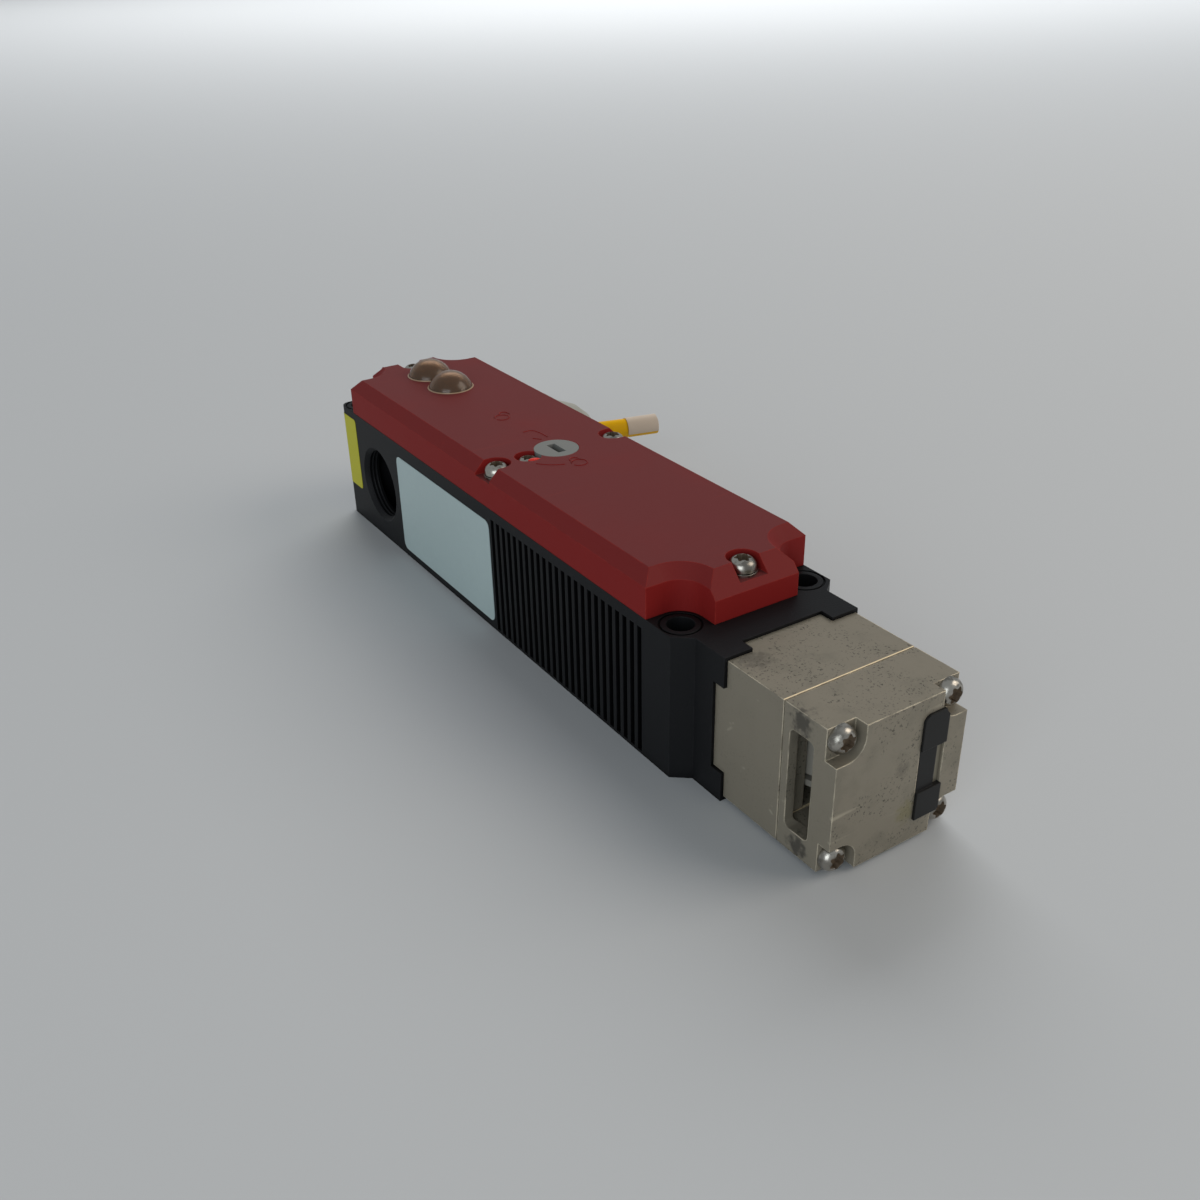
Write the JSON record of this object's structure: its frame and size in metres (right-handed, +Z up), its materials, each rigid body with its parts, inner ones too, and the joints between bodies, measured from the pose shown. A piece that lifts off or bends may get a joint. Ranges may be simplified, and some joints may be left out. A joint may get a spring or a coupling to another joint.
{
  "type": "tongue interlock switch",
  "caption": "Guard interlock switch: long ribbed case with red lid, metal key-entry head with cam wheel, conduit entry, cable gland and hand release disc.",
  "frame": {"origin": "centre of the four mounting holes, on the mounting face", "axes": "+Y from the head to the rear end of the case, +Z up to the lid, -X the open conduit side"},
  "size_m": [0.0867, 0.1952, 0.045],
  "materials": {
    "case_black": "fine-grained moulded glass-filled plastic",
    "cover_red": "matte moulded plastic, slightly worn",
    "rubber_black": "matte",
    "zinc_screw": "zinc plated, bright",
    "lens_smoke": "smoky translucent plastic",
    "board_green": "solder mask",
    "led_clear": "clear resin",
    "disc_grey": "satin",
    "steel": "ground",
    "head_zinc": "nickel-plated die-cast zinc, scuffed",
    "plug_black": "satin",
    "strip_steel": "satin",
    "wheel_steel": "sintered steel, oily",
    "brass_parts": "satin",
    "spring_steel": "drawn wire",
    "insulator_beige": "moulded",
    "soft_iron": "plain",
    "coil_copper": "varnished winding",
    "gland_grey": "moulded polyamide",
    "cable_yellow": "smooth jacket",
    "marker_white": "sleeve"
  },
  "bodies": {
    "case": {"housing": "case_black", "cover": "cover_red", "cover_gasket": "rubber_black", "head_gasket": "rubber_black", "cover_screws": "zinc_screw", "release_lock_screw": "zinc_screw", "head_screws": "zinc_screw", "led_lens_front": "lens_smoke", "led_lens_rear": "lens_smoke", "led_board": "board_green", "leds": "led_clear", "release_seal": "rubber_black", "head_cap": "head_zinc", "head_base": "head_zinc", "slot_cover": "plug_black", "slot_strip": "strip_steel", "cam_axle": "steel", "plunger_guide": "brass_parts", "plunger_spring": "spring_steel", "plunger_contact_block": "insulator_beige", "plunger_contact_posts": "brass_parts", "lock_contact_block": "insulator_beige", "lock_contact_posts": "brass_parts", "armature_spring": "spring_steel", "solenoid_yoke": "soft_iron", "solenoid_coil": "coil_copper", "solenoid_core": "soft_iron", "terminal_block": "insulator_beige", "terminal_screws": "zinc_screw", "gland_body": "gland_grey", "gland_nut": "gland_grey", "gland_o_ring": "rubber_black", "gland_seal": "rubber_black", "cable_inner": "cable_yellow", "cable": "cable_yellow", "cable_marker": "marker_white"},
    "cam": {"cam_wheel": "wheel_steel"},
    "plunger": {"plunger": "steel", "plunger_bridge": "brass_parts"},
    "lock": {"lock_slide": "steel", "armature": "soft_iron", "lock_bridge": "brass_parts"},
    "release": {"release_disc": "disc_grey", "release_cam": "steel"}
  },
  "joints": [
    {"name": "cam_turn", "type": "hinge", "parent": "case", "child": "cam", "pos_m": [0, -0.10065, 0.01595], "axis": [0, 0, 1], "range_deg": [0, 50]},
    {"name": "plunger_slide", "type": "slide", "parent": "case", "child": "plunger", "axis": [0, -1, 0], "range_m": [0, 0.003], "deforming": ["plunger_spring"]},
    {"name": "release_turn", "type": "hinge", "parent": "case", "child": "release", "pos_m": [0, -0.00535, 0.0375], "axis": [0, 0, 1], "range_deg": [0, 90]},
    {"name": "lock_slide", "type": "slide", "parent": "case", "child": "lock", "axis": [0, 1, 0], "range_m": [0, 0.003], "deforming": ["armature_spring"]}
  ],
  "couplings": [
    {"joint": "cam_turn", "follows": "plunger_slide", "rad_per_m": 290.89},
    {"joint": "release_turn", "follows": "lock_slide", "rad_per_m": 523.6}
  ]
}
